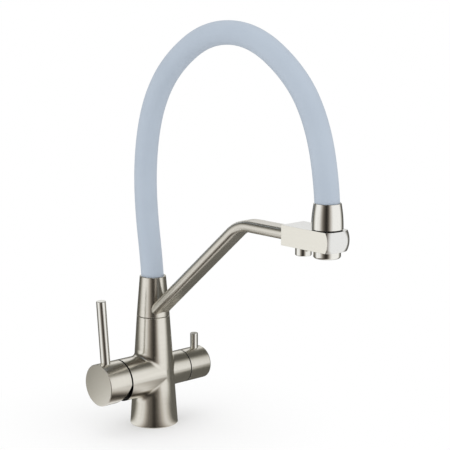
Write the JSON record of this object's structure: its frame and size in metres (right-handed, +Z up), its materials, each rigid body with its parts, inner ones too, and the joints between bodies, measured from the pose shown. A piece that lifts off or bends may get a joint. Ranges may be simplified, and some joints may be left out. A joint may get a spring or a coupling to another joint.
{
  "type": "drinking water filter tap",
  "caption": "Brushed nickel kitchen mixer with a silicone hose spout held by a flat oval arm, and a separate outlet for filtered water.",
  "frame": {"origin": "centre of the foot on the deck", "axes": "+Z up, the arm points along -Y, the mixer lever is on the -X side and the filter knob on +X"},
  "size_m": [0.1407, 0.2948, 0.4306],
  "materials": {
    "brushed_body": "fine brushed warm grey nickel",
    "polished_trim": "polished nickel",
    "hose_silicone": "smooth silicone",
    "water_hose": "matte",
    "spring_steel": "drawn wire",
    "black_rubber": "matte",
    "brass_inner": "turned",
    "cartridge_plastic": "moulded",
    "ceramic": "lapped",
    "dark_plastic": "moulded",
    "screw_steel": "blackened"
  },
  "bodies": {
    "tap": {"tap_body": "brushed_body", "base_gasket": "black_rubber", "cartridge_housing": "cartridge_plastic", "cartridge_port_seals": "black_rubber", "ceramic_disc_fixed": "ceramic", "cartridge_nut": "brass_inner", "filter_valve_body": "brass_inner", "filter_valve_seal": "black_rubber", "filter_disc_fixed": "ceramic", "swivel_spigot": "brass_inner", "spigot_o_rings": "black_rubber", "slip_ring": "dark_plastic"},
    "mixing_turret": {"cartridge_turret": "cartridge_plastic", "pivot_pin": "screw_steel", "cartridge_dome": "dark_plastic"},
    "sliding_disc": {"disc_carrier": "cartridge_plastic", "ceramic_disc_moving": "ceramic"},
    "main_handle": {"cartridge_stem": "brass_inner", "main_handle_cap": "brushed_body", "main_lever_pin": "polished_trim", "main_grub_screw": "screw_steel"},
    "filter_handle": {"filter_spindle": "brass_inner", "filter_disc_moving": "ceramic", "filter_handle_cap": "brushed_body", "filter_lever_pin": "polished_trim", "filter_grub_screw": "screw_steel"},
    "spout": {"swivel_collar": "brushed_body", "collar_grub_screw": "screw_steel", "filter_arm": "brushed_body", "holder_block": "brushed_body", "dock_sleeve": "polished_trim", "filter_outlet": "polished_trim", "filter_aerator": "cartridge_plastic", "filter_outlet_washer": "black_rubber", "silicone_hose": "hose_silicone", "hose_spring": "spring_steel", "inner_hose": "water_hose", "lower_hose_fitting": "brass_inner"},
    "spray_head": {"hose_ferrule": "polished_trim", "nozzle_stem": "brass_inner", "stem_seal": "black_rubber", "check_valve": "cartridge_plastic", "head_aerator": "cartridge_plastic", "aerator_washer": "black_rubber", "upper_hose_fitting": "brass_inner"}
  },
  "joints": [
    {"name": "spout_swivel", "type": "hinge", "parent": "tap", "child": "spout", "pos_m": [0, 0, 0.1177], "axis": [0, 0, 1], "continuous": true},
    {"name": "head_lift", "type": "slide", "parent": "spout", "child": "spray_head", "axis": [0, 0, 1], "range_m": [0, 0.04], "deforming": ["silicone_hose", "hose_spring", "inner_hose"]},
    {"name": "temperature_turn", "type": "hinge", "parent": "tap", "child": "mixing_turret", "pos_m": [-0.0426, 0, 0.0545], "axis": [1, 0, 0], "range_deg": [-45, 45]},
    {"name": "flow_lift", "type": "hinge", "parent": "mixing_turret", "child": "main_handle", "pos_m": [-0.0426, 0, 0.0545], "axis": [0, -1, 0], "range_deg": [0, 20]},
    {"name": "disc_slide", "type": "slide", "parent": "mixing_turret", "child": "sliding_disc", "axis": [0, 0, 1], "range_m": [0, 0.0042]},
    {"name": "filter_turn", "type": "hinge", "parent": "tap", "child": "filter_handle", "pos_m": [0.038, 0, 0.0545], "axis": [1, 0, 0], "range_deg": [0, 90]}
  ],
  "couplings": [
    {"joint": "disc_slide", "follows": "flow_lift", "m_per_rad": 0.011954}
  ]
}
